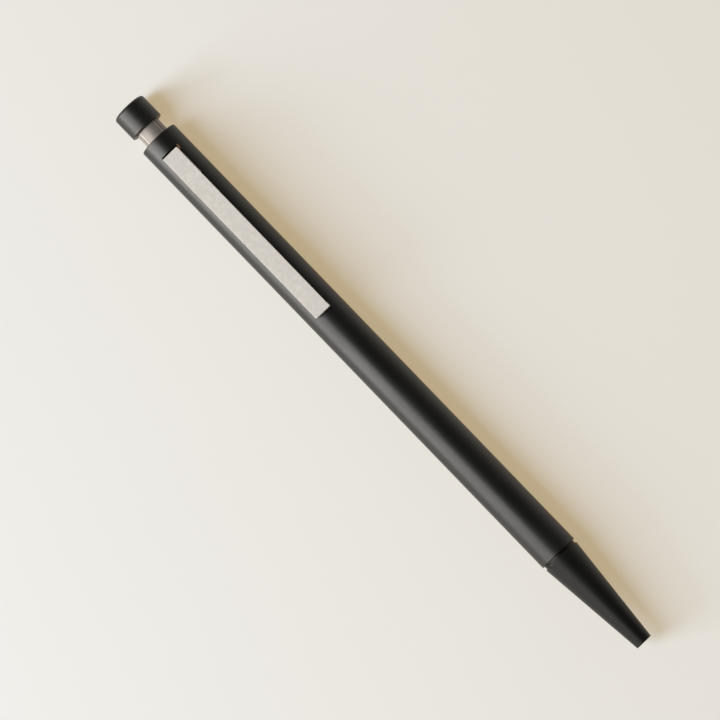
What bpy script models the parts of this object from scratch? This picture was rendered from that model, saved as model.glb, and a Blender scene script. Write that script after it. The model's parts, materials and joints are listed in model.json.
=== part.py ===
"""Retractable ballpoint pen, taken apart into its real pieces.

The pen lies along X with its tip towards +X and its clip straight up. Stations are millimetres
along the axis from the push button's end face, heights are millimetres above the axis, and the
pen rests on the table at Z = 0 with its middle at the origin.
"""
import math

import bmesh
import bpy
from mathutils import Matrix, Vector

MM = 0.001
BARREL_SIDES = 64     # flats round the barrel, one of them square to the table
SIDES = 48            # flats round any other turned piece, turned the same way
SMALL_SIDES = 24      # flats round a thin piece
ARC_STEPS = 3         # segments in each rounded rim
FIT = 0.05            # gap between two pieces that are pressed together
KEY_HALF_ANGLE = 41   # half the width of a stem land, in degrees

# Barrel and the parts of the outline
BARREL_RADIUS = 4.0
BORE_RADIUS = 3.5
INNER_RADIUS = BORE_RADIUS - FIT
CAP_LENGTH = 5.22
CAP_RADIUS = 3.5
BARREL_BACK = 8.25
BARREL_FRONT = 116.11
NOSE_BACK = 116.82
NOSE_BACK_RADIUS = 3.87
NOSE_BAND = 0.45
NOSE_BLEND = 7.0
PEN_LENGTH = 138.94
NOSE_MOUTH_RADIUS = 1.725
AXIS_HEIGHT = BARREL_RADIUS * math.cos(math.pi / BARREL_SIDES)

# Button and stem
STROKE = 2.8
STEM_RADIUS = 2.58
STEM_LAND_RADIUS = 2.68
STEM_TENON_RADIUS = 2.3
STEM_TENON_BACK = 1.5
STEM_BACK = CAP_LENGTH + FIT
STEM_FRONT = 10.1
ROD_RADIUS = 1.1
ROD_BACK = 6.65
BUSH_BACK = BARREL_BACK + 0.2
BUSH_FRONT = 11.6
BUSH_PLAY = 0.07

# Clip, its pin and the block that carries it
CLIP_WIDTH = 3.5
CLIP_TOP = 5.4
CLIP_THICKNESS = 0.6
CLIP_BACK = 12.36
CLIP_FRONT = 53.73
CLIP_LIP = 0.65
CLIP_LIP_BOTTOM = 4.12
SLOT_BACK = 11.8
SLOT_FRONT = 19.4
SLOT_WIDTH = 3.8
PIN_STATION = 17.2
PIN_HEIGHT = 2.3
PIN_RADIUS = 0.4
PIN_LENGTH = 4.1
CARRIER_BACK = 13.3
CARRIER_FRONT = 21.6
CARRIER_CHANNEL_FRONT = 20.4
CARRIER_FLOOR = 1.45
CARRIER_BORE_RADIUS = 1.2
BOW_BACK = 13.6
BOW_FRONT = 15.6
BOW_RISE = 0.65
BOW_WIDTH = 2.6
BOW_THICKNESS = 0.15

# Click mechanism
TEETH = 6
TOOTH_DEPTH = 0.6
PLUNGER_BACK = 22.4
PLUNGER_FRONT = 27.0
ROTOR_BACK = PLUNGER_FRONT + 0.35
ROTOR_FRONT = 32.0
CAM_CORE_RADIUS = 1.8
CAM_LUG_RADIUS = 2.45
CAM_LUG_HALF_ANGLE = 25
PLUNGER_LUG = (24.7, 26.2)
ROTOR_LUG = (28.0, 30.4)
SLEEVE_BACK = 21.9
SLEEVE_FRONT = 31.9
SLEEVE_BORE_RADIUS = 2.55
RIB_RADIUS = 1.95
RIB = (24.3, 30.3)
SLOT_BEARINGS = (0, 120, 240)
RIB_BEARINGS = (60, 180, 300)

# Refill
REFILL_BACK = ROTOR_FRONT + 0.3
REFILL_RADIUS = 2.95
REFILL_WALL = 0.25
REFILL_FRONT = 109.0
PLUG_SHOULDER = 33.2
PLUG_FRONT = 37.0
NECK_BACK = 106.5
NECK_RADIUS = 1.8
NECK_TAPER = (123.2, 125.8)
NECK_FRONT = 131.0
NECK_FRONT_RADIUS = 1.15
INK_CHANNEL_RADIUS = 0.6
SOCKET_BACK = 127.1
SOCKET_RADIUS = 1.1
SOCKET_TENON_RADIUS = 0.8
SOCKET_TAPER = 136.3
SOCKET_FRONT = 138.3
BALL_STATION = 138.04
BALL_RADIUS = 0.5

# Nose, insert, spring and washer
SPIGOT_BACK = 112.3
SPIGOT_RADIUS = 3.0
SPIGOT_BORE_RADIUS = 2.6
LEDGE = 122.5
INSERT_BACK = 109.5
INSERT_BORE_RADIUS = 3.05
FLANGE_RADIUS = 3.6
SPRING_BACK = 109.35
SPRING_FRONT = 121.9
SPRING_RADIUS = 2.2
WIRE_RADIUS = 0.22
ACTIVE_TURNS = 7
CLOSED_TURNS = 1
STEPS_PER_TURN = 20
WASHER_BACK = 122.0
WASHER_FRONT = 122.4

# Colours, as linear red, green and blue, with roughness and metallic
MATT_BLACK = ((0.012, 0.012, 0.012), 0.5, 0.0)
DARK_RING = ((0.02, 0.019, 0.018), 0.4, 0.2)
SATIN_STEEL = ((0.56, 0.53, 0.5), 0.38, 1.0)
BRIGHT_STEEL = ((0.62, 0.6, 0.58), 0.22, 1.0)
BLACKENED_STEEL = ((0.03, 0.03, 0.03), 0.4, 1.0)
SPRING_STEEL = ((0.45, 0.44, 0.43), 0.3, 1.0)
BRASS = ((0.62, 0.42, 0.16), 0.3, 1.0)
CARBIDE = ((0.35, 0.35, 0.36), 0.15, 1.0)
WHITE_ACETAL = ((0.75, 0.74, 0.7), 0.45, 0.0)
GREY_ACETAL = ((0.2, 0.2, 0.21), 0.45, 0.0)
BLACK_ACETAL = ((0.02, 0.02, 0.02), 0.45, 0.0)


def clear_scene():
    """Remove every object that the scene already holds."""
    for thing in list(bpy.data.objects):
        bpy.data.objects.remove(thing)


def material(name, finish):
    """A Principled material of one colour, roughness and metallic value."""
    colour, roughness, metallic = finish
    made = bpy.data.materials.new(name)
    made.use_nodes = True
    shader = made.node_tree.nodes["Principled BSDF"]
    shader.inputs["Base Color"].default_value = (*colour, 1.0)
    shader.inputs["Roughness"].default_value = roughness
    shader.inputs["Metallic"].default_value = metallic
    made.diffuse_color = (*colour, 1.0)
    return made


def pen_frame():
    """The empty on the pen's axis at mid-length, which every piece hangs from."""
    empty = bpy.data.objects.new("pen", None)
    bpy.context.collection.objects.link(empty)
    empty.location = (0.0, 0.0, AXIS_HEIGHT * MM)
    return empty


def place(thing, frame, station, height=0.0):
    """Hang an object from the pen's frame with its origin at a station and height."""
    thing.parent = frame
    thing.location = ((station - PEN_LENGTH / 2) * MM, 0.0, height * MM)


def solid(bm, name, finish, frame, station, height=0.0):
    """Turn a mesh drawn in millimetres about its own origin into a placed object."""
    bmesh.ops.recalc_face_normals(bm, faces=bm.faces)
    bmesh.ops.scale(bm, vec=(MM, MM, MM), verts=bm.verts)
    mesh = bpy.data.meshes.new(name)
    bm.to_mesh(mesh)
    bm.free()
    mesh.shade_smooth()
    mesh.set_sharp_from_angle(angle=math.radians(30))
    mesh.materials.append(material(name, finish))
    made = bpy.data.objects.new(name, mesh)
    bpy.context.collection.objects.link(made)
    place(made, frame, station, height)
    return made


def rounded(corners):
    """The outline through (along, radius, fillet) corners, with each fillet drawn as an arc."""
    points = []
    for index, corner in enumerate(corners):
        here = Vector(corner[:2])
        fillet = corner[2] if len(corner) == 3 else 0.0
        if not fillet:
            points.append(here)
            continue
        before = (Vector(corners[index - 1][:2]) - here).normalized()
        after = (Vector(corners[(index + 1) % len(corners)][:2]) - here).normalized()
        half_angle = before.angle(after) / 2
        centre = here + (before + after).normalized() * fillet / math.sin(half_angle)
        start = (here + before * fillet / math.tan(half_angle) - centre).normalized()
        end = (here + after * fillet / math.tan(half_angle) - centre).normalized()
        for step in range(ARC_STEPS + 1):
            points.append(centre + start.slerp(end, step / ARC_STEPS) * fillet)
    return points


def turned(corners, origin, sides=SIDES):
    """Spin a half section about the axis. A section that starts on the axis ends on it too."""
    bm = bmesh.new()
    points = rounded(corners)
    verts = [bm.verts.new((p.x - origin, 0.0, p.y)) for p in points]
    for first, second in zip(verts, verts[1:]):
        bm.edges.new((first, second))
    if corners[0][1] > 0:
        bm.edges.new((verts[-1], verts[0]))
    section = list(bm.verts) + list(bm.edges)
    bmesh.ops.spin(
        bm, geom=section, axis=(1, 0, 0), angle=math.tau, steps=sides, use_merge=True
    )
    bmesh.ops.remove_doubles(bm, verts=bm.verts, dist=1e-5)
    half_flat = Matrix.Rotation(math.pi / sides, 3, "X")
    bmesh.ops.rotate(bm, matrix=half_flat, verts=bm.verts)
    bmesh.ops.recalc_face_normals(bm, faces=bm.faces)
    return bm


def draw_wall(bm, old_radius, new_radius, bearings, half_angle, start, end):
    """Extrude the flats of one wall to another radius, where they face certain bearings."""
    apothem = old_radius * math.cos(math.pi / SIDES)
    chosen = []
    for face in bm.faces:
        centre = face.calc_center_median()
        bearing = math.degrees(math.atan2(centre.y, centre.z))
        off = min(abs((bearing - wanted + 180) % 360 - 180) for wanted in bearings)
        on_wall = abs(math.hypot(centre.y, centre.z) - apothem) < 0.01
        along_wall = abs(face.normal.x) < 0.1
        if on_wall and along_wall and off < half_angle and start < centre.x < end:
            chosen.append(face)
    grown = bmesh.ops.extrude_face_region(bm, geom=chosen)["geom"]
    bmesh.ops.delete(bm, geom=chosen, context="FACES")
    for vert in grown:
        if isinstance(vert, bmesh.types.BMVert):
            vert.co.y *= new_radius / old_radius
            vert.co.z *= new_radius / old_radius


def cut_teeth(bm, station, phase):
    """Push a ring's rim to and fro along the axis as a triangle wave of teeth."""
    for vert in bm.verts:
        if abs(vert.co.x - station) > 0.01 or math.hypot(vert.co.y, vert.co.z) < 0.1:
            continue
        turn = math.atan2(vert.co.y, vert.co.z) / math.tau + phase
        vert.co.x += TOOTH_DEPTH * (abs((turn * TEETH) % 1.0 - 0.5) * 2 - 0.5)


def cutter(bm, name, frame, station, height=0.0):
    """A hidden solid that is cut away from another one."""
    tool = solid(bm, name, GREY_ACETAL, frame, station, height)
    tool.hide_render = True
    tool.display_type = "WIRE"
    return tool


def box(low, high):
    """A box between two corners."""
    bm = bmesh.new()
    bmesh.ops.create_cube(bm, size=1.0)
    size = [b - a for a, b in zip(low, high)]
    middle = [(a + b) / 2 for a, b in zip(low, high)]
    bmesh.ops.scale(bm, vec=size, verts=bm.verts)
    bmesh.ops.translate(bm, vec=middle, verts=bm.verts)
    return bm


def cross_pin(radius, length):
    """A round bar across the pen, along Y."""
    bm = bmesh.new()
    bmesh.ops.create_cone(
        bm, cap_ends=True, segments=SMALL_SIDES, radius1=radius, radius2=radius, depth=length
    )
    bmesh.ops.rotate(bm, matrix=Matrix.Rotation(math.pi / 2, 3, "X"), verts=bm.verts)
    return bm


def cut_away(thing, tool):
    """Subtract a cutter from an object."""
    cut = thing.modifiers.new("cut " + tool.name, "BOOLEAN")
    cut.operation = "DIFFERENCE"
    cut.solver = "EXACT"
    cut.object = tool


def barrel_tube(frame):
    """The outer tube, with the clip's slot through its wall."""
    section = [
        (BARREL_BACK, BORE_RADIUS),
        (BARREL_BACK, BARREL_RADIUS, 0.18),
        (BARREL_FRONT, BARREL_RADIUS, 0.06),
        (BARREL_FRONT, BORE_RADIUS),
    ]
    bm = turned(section, BARREL_BACK, BARREL_SIDES)
    tube = solid(bm, "barrel_tube", MATT_BLACK, frame, BARREL_BACK)
    half = SLOT_WIDTH / 2
    slot = box((0.0, -half, 1.0), (SLOT_FRONT - SLOT_BACK, half, BARREL_RADIUS + 1.0))
    cut_away(tube, cutter(slot, "slot_cutter", frame, SLOT_BACK))


def rear_bush(frame):
    """The keyed bush that the stem slides through without turning."""
    section = [
        (BUSH_BACK, 0.0),
        (BUSH_BACK, INNER_RADIUS),
        (BUSH_FRONT, INNER_RADIUS),
        (BUSH_FRONT, 0.0),
    ]
    bush = solid(turned(section, BUSH_BACK), "rear_bush", GREY_ACETAL, frame, BUSH_BACK)
    bore = STEM_RADIUS + BUSH_PLAY
    key = STEM_LAND_RADIUS + BUSH_PLAY
    ends = (BUSH_BACK - 1.0, BUSH_FRONT + 1.0)
    broach = turned([(ends[0], 0.0), (ends[0], bore), (ends[1], bore), (ends[1], 0.0)], ends[0])
    draw_wall(broach, bore, key, (0, 180), KEY_HALF_ANGLE, 0.0, ends[1] - ends[0])
    cut_away(bush, cutter(broach, "keyway_cutter", frame, ends[0]))


def button_cap(frame):
    """The push button, bored from the front for the stem's tenon."""
    bore = STEM_TENON_RADIUS + FIT
    bottom = STEM_TENON_BACK - FIT
    section = [
        (0.0, 0.0),
        (0.0, CAP_RADIUS, 0.55),
        (CAP_LENGTH, CAP_RADIUS, 0.2),
        (CAP_LENGTH, bore),
        (bottom, bore),
        (bottom, 0.0),
    ]
    solid(turned(section, 0.0), "button_cap", MATT_BLACK, frame, 0.0)


def button_stem(frame):
    """The steel stem: a tenon in the cap, two raised lands, and a bore for the rod."""
    bore = ROD_RADIUS + FIT
    bottom = ROD_BACK - FIT
    section = [
        (STEM_TENON_BACK, 0.0),
        (STEM_TENON_BACK, STEM_TENON_RADIUS),
        (STEM_BACK, STEM_TENON_RADIUS),
        (STEM_BACK, STEM_RADIUS),
        (STEM_FRONT, STEM_RADIUS),
        (STEM_FRONT, bore),
        (bottom, bore),
        (bottom, 0.0),
    ]
    bm = turned(section, STEM_TENON_BACK)
    ends = (STEM_BACK - STEM_TENON_BACK, STEM_FRONT - STEM_TENON_BACK)
    draw_wall(bm, STEM_RADIUS, STEM_LAND_RADIUS, (0, 180), KEY_HALF_ANGLE, *ends)
    solid(bm, "button_stem", BRIGHT_STEEL, frame, STEM_TENON_BACK)


def push_rod(frame):
    """The thin rod from the stem to the plunger."""
    front = PLUNGER_BACK + 2.0
    section = [(ROD_BACK, 0.0), (ROD_BACK, ROD_RADIUS), (front, ROD_RADIUS), (front, 0.0)]
    bm = turned(section, ROD_BACK, SMALL_SIDES)
    solid(bm, "push_rod", BLACKENED_STEEL, frame, ROD_BACK)


def cam_plunger(frame):
    """The toothed crown on the rod, guided by three lugs."""
    bore = ROD_RADIUS + FIT
    bottom = PLUNGER_BACK + 2.0 + FIT
    section = [
        (bottom, 0.0),
        (bottom, bore),
        (PLUNGER_BACK, bore),
        (PLUNGER_BACK, CAM_CORE_RADIUS),
        (PLUNGER_LUG[0], CAM_CORE_RADIUS),
        (PLUNGER_LUG[1], CAM_CORE_RADIUS),
        (PLUNGER_FRONT, CAM_CORE_RADIUS),
        (PLUNGER_FRONT, 0.0),
    ]
    bm = turned(section, PLUNGER_BACK)
    ends = [station - PLUNGER_BACK for station in PLUNGER_LUG]
    draw_wall(bm, CAM_CORE_RADIUS, CAM_LUG_RADIUS, SLOT_BEARINGS, CAM_LUG_HALF_ANGLE, *ends)
    cut_teeth(bm, PLUNGER_FRONT - PLUNGER_BACK, 0.0)
    solid(bm, "cam_plunger", WHITE_ACETAL, frame, PLUNGER_BACK)


def cam_rotor(frame):
    """The toothed rotor, whose three lugs run in the sleeve's slots or rest on its ribs."""
    section = [
        (ROTOR_BACK, 0.0),
        (ROTOR_BACK, CAM_CORE_RADIUS),
        (ROTOR_LUG[0], CAM_CORE_RADIUS),
        (ROTOR_LUG[1], CAM_CORE_RADIUS),
        (ROTOR_FRONT, CAM_CORE_RADIUS),
        (ROTOR_FRONT, 0.0),
    ]
    bm = turned(section, ROTOR_BACK)
    ends = [station - ROTOR_BACK for station in ROTOR_LUG]
    draw_wall(bm, CAM_CORE_RADIUS, CAM_LUG_RADIUS, SLOT_BEARINGS, CAM_LUG_HALF_ANGLE, *ends)
    cut_teeth(bm, 0.0, 1.0 / SIDES)
    solid(bm, "cam_rotor", GREY_ACETAL, frame, ROTOR_BACK)


def cam_sleeve(frame):
    """The fixed sleeve with three ribs and the slots between them."""
    section = [
        (SLEEVE_BACK, SLEEVE_BORE_RADIUS),
        (SLEEVE_BACK, INNER_RADIUS),
        (SLEEVE_FRONT, INNER_RADIUS),
        (SLEEVE_FRONT, SLEEVE_BORE_RADIUS),
        (RIB[1], SLEEVE_BORE_RADIUS),
        (RIB[0], SLEEVE_BORE_RADIUS),
    ]
    bm = turned(section, SLEEVE_BACK)
    ends = [station - SLEEVE_BACK for station in RIB]
    draw_wall(bm, SLEEVE_BORE_RADIUS, RIB_RADIUS, RIB_BEARINGS, CAM_LUG_HALF_ANGLE, *ends)
    solid(bm, "cam_sleeve", WHITE_ACETAL, frame, SLEEVE_BACK)


def clip_carrier(frame):
    """The block under the slot: a channel for the clip's root, a bore for the rod, a pin hole."""
    section = [
        (CARRIER_BACK, CARRIER_BORE_RADIUS),
        (CARRIER_BACK, INNER_RADIUS),
        (CARRIER_FRONT, INNER_RADIUS),
        (CARRIER_FRONT, CARRIER_BORE_RADIUS),
    ]
    bm = turned(section, CARRIER_BACK)
    block = solid(bm, "clip_carrier", BLACK_ACETAL, frame, CARRIER_BACK)
    half = SLOT_WIDTH / 2
    top = BARREL_RADIUS + 1.0
    channel = box((-1.0, -half, CARRIER_FLOOR), (CARRIER_CHANNEL_FRONT - CARRIER_BACK, half, top))
    cut_away(block, cutter(channel, "channel_cutter", frame, CARRIER_BACK))
    hole = cross_pin(PIN_RADIUS + 0.02, 2 * BARREL_RADIUS)
    cut_away(block, cutter(hole, "carrier_hole_cutter", frame, PIN_STATION, PIN_HEIGHT))


def clip_pin(frame):
    """The pin that the clip rocks on."""
    bm = cross_pin(PIN_RADIUS, PIN_LENGTH)
    solid(bm, "clip_pin", BRIGHT_STEEL, frame, PIN_STATION, PIN_HEIGHT)


def clip(frame):
    """The flat strip, with its stepped root and pin lug at the back and a lip at the front."""
    underside = CLIP_TOP - CLIP_THICKNESS
    side = [
        (CLIP_BACK, CLIP_TOP),
        (CLIP_FRONT, CLIP_TOP),
        (CLIP_FRONT, CLIP_LIP_BOTTOM),
        (CLIP_FRONT - CLIP_LIP, CLIP_LIP_BOTTOM),
        (CLIP_FRONT - 1.5 * CLIP_LIP, underside),
        (PIN_STATION + 1.8, underside),
        (PIN_STATION + 1.4, underside - 0.5),
        (PIN_STATION + 1.4, PIN_HEIGHT - 0.3),
        (PIN_STATION + 1.1, PIN_HEIGHT - 0.6),
        (PIN_STATION - 1.3, PIN_HEIGHT - 0.6),
        (PIN_STATION - 1.3, PIN_HEIGHT + 0.15),
        (CARRIER_BACK - 0.1, PIN_HEIGHT + 0.15),
        (CARRIER_BACK - 0.1, STEM_LAND_RADIUS + 0.42),
        (CLIP_BACK, STEM_LAND_RADIUS + 0.42),
    ]
    bm = bmesh.new()
    half = CLIP_WIDTH / 2
    corners = [bm.verts.new((x - PIN_STATION, -half, z - PIN_HEIGHT)) for x, z in side]
    flank = bm.faces.new(corners)
    grown = bmesh.ops.extrude_face_region(bm, geom=[flank], use_keep_orig=True)["geom"]
    far = [part for part in grown if isinstance(part, bmesh.types.BMVert)]
    bmesh.ops.translate(bm, vec=(0.0, CLIP_WIDTH, 0.0), verts=far)
    strip = solid(bm, "clip", SATIN_STEEL, frame, PIN_STATION, PIN_HEIGHT)
    edges = strip.modifiers.new("eased edges", "BEVEL")
    edges.width = 0.06 * MM
    edges.segments = 2
    edges.limit_method = "ANGLE"
    edges.angle_limit = math.radians(40)
    hole = cross_pin(PIN_RADIUS + 0.04, 2 * BARREL_RADIUS)
    cut_away(strip, cutter(hole, "clip_hole_cutter", frame, PIN_STATION, PIN_HEIGHT))


def clip_spring(frame):
    """The bowed leaf under the clip's tail."""
    half = (BOW_FRONT - BOW_BACK) / 2
    radius = (half**2 + BOW_RISE**2) / (2 * BOW_RISE)
    spread = math.asin(half / radius) if BOW_RISE < radius else math.pi - math.asin(half / radius)
    steps = 10
    bm = bmesh.new()
    row = []
    for step in range(steps + 1):
        angle = spread * (2 * step / steps - 1)
        rise = BOW_RISE - radius * (1 - math.cos(angle))
        row.append(bm.verts.new((radius * math.sin(angle), -BOW_WIDTH / 2, rise)))
    edges = [bm.edges.new(pair) for pair in zip(row, row[1:])]
    grown = bmesh.ops.extrude_edge_only(bm, edges=edges)["geom"]
    far = [part for part in grown if isinstance(part, bmesh.types.BMVert)]
    bmesh.ops.translate(bm, vec=(0.0, BOW_WIDTH, 0.0), verts=far)
    base = CARRIER_FLOOR + BOW_THICKNESS / 2 + 0.02
    leaf = solid(bm, "clip_spring", SPRING_STEEL, frame, BOW_BACK + half, base)
    thick = leaf.modifiers.new("thickness", "SOLIDIFY")
    thick.thickness = BOW_THICKNESS * MM
    thick.offset = 0.0


def refill_plug(frame):
    """The plug that closes the refill's back end."""
    inside = REFILL_RADIUS - REFILL_WALL - FIT
    section = [
        (REFILL_BACK, 0.0),
        (REFILL_BACK, REFILL_RADIUS, 0.25),
        (PLUG_SHOULDER, REFILL_RADIUS),
        (PLUG_SHOULDER, inside),
        (PLUG_FRONT, inside),
        (PLUG_FRONT, 0.0),
    ]
    solid(turned(section, REFILL_BACK), "refill_plug", BRASS, frame, REFILL_BACK)


def refill_tube(frame):
    """The ink tube, closed at the front but for the neck's hole."""
    back = PLUG_SHOULDER + FIT
    inside = REFILL_RADIUS - REFILL_WALL
    end_wall = REFILL_FRONT - 0.6
    hole = NECK_RADIUS + FIT
    section = [
        (back, inside),
        (back, REFILL_RADIUS),
        (REFILL_FRONT, REFILL_RADIUS, 0.2),
        (REFILL_FRONT, hole),
        (end_wall, hole),
        (end_wall, inside),
    ]
    solid(turned(section, back), "refill_tube", BRIGHT_STEEL, frame, back)


def refill_neck(frame):
    """The brass neck, which tapers down to hold the tip."""
    seat = SOCKET_TENON_RADIUS + FIT
    section = [
        (NECK_BACK, INK_CHANNEL_RADIUS),
        (NECK_BACK, NECK_RADIUS),
        (NECK_TAPER[0], NECK_RADIUS),
        (NECK_TAPER[1], NECK_FRONT_RADIUS),
        (NECK_FRONT, NECK_FRONT_RADIUS, 0.1),
        (NECK_FRONT, seat),
        (SOCKET_BACK - FIT, seat),
        (SOCKET_BACK - FIT, INK_CHANNEL_RADIUS),
    ]
    bm = turned(section, NECK_BACK, SMALL_SIDES)
    solid(bm, "refill_neck", BRASS, frame, NECK_BACK)


def tip_socket(frame):
    """The steel tip, with the cup that the ball rolls in and the lip that keeps it there."""
    channel = BALL_RADIUS / 2
    cup = BALL_RADIUS + 0.04
    section = [
        (SOCKET_BACK, channel),
        (SOCKET_BACK, SOCKET_TENON_RADIUS),
        (NECK_FRONT + FIT, SOCKET_TENON_RADIUS),
        (NECK_FRONT + FIT, SOCKET_RADIUS),
        (SOCKET_TAPER, SOCKET_RADIUS),
        (SOCKET_FRONT, BALL_RADIUS + 0.12),
        (SOCKET_FRONT, BALL_RADIUS - 0.04),
        (BALL_STATION, cup),
        (BALL_STATION - 0.42, cup),
        (BALL_STATION - 0.74, channel),
    ]
    bm = turned(section, SOCKET_BACK, SMALL_SIDES)
    solid(bm, "tip_socket", BRIGHT_STEEL, frame, SOCKET_BACK)


def writing_ball(frame):
    """The ball that lays down the ink."""
    bm = bmesh.new()
    bmesh.ops.create_uvsphere(bm, u_segments=16, v_segments=10, radius=BALL_RADIUS)
    solid(bm, "writing_ball", CARBIDE, frame, BALL_STATION)


def front_insert(frame):
    """The threaded insert in the barrel, with the flange that shows in the groove."""
    flange_back = BARREL_FRONT + FIT
    flange_front = NOSE_BACK - FIT
    section = [
        (INSERT_BACK, INSERT_BORE_RADIUS),
        (INSERT_BACK, INNER_RADIUS),
        (flange_back, INNER_RADIUS),
        (flange_back, FLANGE_RADIUS),
        (flange_front, FLANGE_RADIUS),
        (flange_front, INSERT_BORE_RADIUS),
    ]
    solid(turned(section, INSERT_BACK), "front_insert", DARK_RING, frame, INSERT_BACK)


def nose_cone(frame):
    """The straight cone, blended into a short band, with a screwed spigot and a stepped bore."""
    neck_clear = NECK_RADIUS + 0.2
    tip_clear = NECK_FRONT_RADIUS + 0.1
    section = [
        (SPIGOT_BACK, SPIGOT_BORE_RADIUS),
        (SPIGOT_BACK, SPIGOT_RADIUS, 0.1),
        (NOSE_BACK, SPIGOT_RADIUS),
        (NOSE_BACK, NOSE_BACK_RADIUS, 0.08),
        (NOSE_BACK + NOSE_BAND, NOSE_BACK_RADIUS, NOSE_BLEND),
        (PEN_LENGTH, NOSE_MOUTH_RADIUS, 0.15),
        (PEN_LENGTH, tip_clear, 0.05),
        (NECK_TAPER[1] + STROKE + 0.6, tip_clear),
        (NECK_TAPER[0] + STROKE + 0.6, neck_clear),
        (LEDGE, neck_clear),
        (LEDGE, SPIGOT_BORE_RADIUS),
    ]
    solid(turned(section, SPIGOT_BACK), "nose_cone", MATT_BLACK, frame, SPIGOT_BACK)


def spring_washer(frame):
    """The thin ring between the spring and the nose's ledge."""
    inner = NECK_RADIUS + 0.15
    outer = SPIGOT_BORE_RADIUS - 0.1
    section = [
        (WASHER_BACK, inner),
        (WASHER_BACK, outer),
        (WASHER_FRONT, outer),
        (WASHER_FRONT, inner),
    ]
    solid(turned(section, WASHER_BACK), "spring_washer", BRIGHT_STEEL, frame, WASHER_BACK)


def return_spring(frame):
    """The compression spring: a wire spun round the axis, with a closed turn at each end."""
    wire = 2 * WIRE_RADIUS
    closed = CLOSED_TURNS * (wire + 0.03)
    active = SPRING_FRONT - SPRING_BACK - 2 * closed - wire
    bm = bmesh.new()
    bmesh.ops.create_circle(bm, segments=8, radius=WIRE_RADIUS)
    bmesh.ops.rotate(bm, matrix=Matrix.Rotation(math.pi / 2, 3, "X"), verts=bm.verts)
    bmesh.ops.translate(bm, vec=(WIRE_RADIUS, 0.0, SPRING_RADIUS), verts=bm.verts)
    ring = list(bm.edges)
    stretches = ((CLOSED_TURNS, closed), (ACTIVE_TURNS, active), (CLOSED_TURNS, closed))
    first_ring = ring
    for turns, advance in stretches:
        steps = turns * STEPS_PER_TURN
        swept = bmesh.ops.spin(
            bm,
            geom=ring,
            axis=(1, 0, 0),
            dvec=(advance / steps, 0.0, 0.0),
            angle=math.tau * turns,
            steps=steps,
        )
        ring = [part for part in swept["geom_last"] if isinstance(part, bmesh.types.BMEdge)]
    bmesh.ops.contextual_create(bm, geom=first_ring)
    bmesh.ops.contextual_create(bm, geom=ring)
    solid(bm, "return_spring", SPRING_STEEL, frame, SPRING_BACK)


def main():
    """Build the whole pen."""
    clear_scene()
    frame = pen_frame()
    for piece in (
        barrel_tube,
        rear_bush,
        button_cap,
        button_stem,
        push_rod,
        cam_plunger,
        cam_rotor,
        cam_sleeve,
        clip_carrier,
        clip_pin,
        clip,
        clip_spring,
        refill_plug,
        refill_tube,
        refill_neck,
        tip_socket,
        writing_ball,
        front_insert,
        nose_cone,
        spring_washer,
        return_spring,
    ):
        piece(frame)


main()
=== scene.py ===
"""Retractable ballpoint pen: the finished surfaces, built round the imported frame.

The pen lies along X with its tip towards +X and its clip straight up. Every size that the frame
knows is read from it. The rest are millimetres, as a maker would write them on a drawing.
"""

import json
import math

import bpy
from bpy.props import FloatProperty, FloatVectorProperty, IntProperty, PointerProperty
from bpy.types import Operator, Panel, PropertyGroup
from mathutils import Matrix, Vector


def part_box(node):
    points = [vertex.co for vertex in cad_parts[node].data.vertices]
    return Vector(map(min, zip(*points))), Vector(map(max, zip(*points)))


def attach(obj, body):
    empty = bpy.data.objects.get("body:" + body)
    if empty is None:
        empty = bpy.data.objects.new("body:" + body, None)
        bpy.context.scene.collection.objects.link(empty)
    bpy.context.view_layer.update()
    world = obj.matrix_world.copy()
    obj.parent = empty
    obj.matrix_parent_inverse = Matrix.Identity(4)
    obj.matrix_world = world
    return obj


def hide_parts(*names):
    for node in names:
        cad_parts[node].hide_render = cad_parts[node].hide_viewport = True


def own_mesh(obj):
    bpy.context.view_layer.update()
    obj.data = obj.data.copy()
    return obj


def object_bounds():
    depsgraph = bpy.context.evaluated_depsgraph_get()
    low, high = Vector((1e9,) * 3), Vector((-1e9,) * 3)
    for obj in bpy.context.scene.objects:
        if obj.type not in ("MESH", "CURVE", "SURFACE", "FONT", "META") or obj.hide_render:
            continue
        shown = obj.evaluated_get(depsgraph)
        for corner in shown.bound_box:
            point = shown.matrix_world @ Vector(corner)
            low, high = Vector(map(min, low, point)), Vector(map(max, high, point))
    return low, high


bl_info = {
    "name": "Retractable Ballpoint Pen",
    "version": (1, 0, 0),
    "blender": (4, 5, 0),
    "location": "3D View > Sidebar > Pen",
    "description": "Models and finishes a slim push-button ballpoint pen round its packed frame",
    "category": "Add Mesh",
}

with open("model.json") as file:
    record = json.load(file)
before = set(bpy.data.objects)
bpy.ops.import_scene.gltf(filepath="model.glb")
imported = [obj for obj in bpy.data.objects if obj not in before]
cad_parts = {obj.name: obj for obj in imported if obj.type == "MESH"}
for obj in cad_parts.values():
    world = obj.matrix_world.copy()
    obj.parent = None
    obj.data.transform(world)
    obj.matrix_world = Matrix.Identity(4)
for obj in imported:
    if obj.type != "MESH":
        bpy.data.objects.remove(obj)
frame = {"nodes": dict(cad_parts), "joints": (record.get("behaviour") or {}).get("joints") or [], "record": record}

MM = 0.001
CAD_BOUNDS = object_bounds()
AXIS_HEIGHT = (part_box("barrel_tube")[0].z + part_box("barrel_tube")[1].z) / 2
FIT = 0.05 * MM              # gap between pressed pieces
ARC_STEPS = 6                # segments in each fillet
HAIR = 0.001 * MM            # a distance that counts as touching
INNER_SIDES = 96             # facets round the small turned pieces inside
THREAD_PITCH = 0.5           # of the nose's spigot, in millimetres
WAVE_SCALE = 0.314           # at which a wave texture repeats every millimetre
TENON_RADIUS = 2.3 * MM      # of the stem's end inside the button
LAND_HEIGHT = 0.12 * MM      # of the stem's two raised lands
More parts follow.
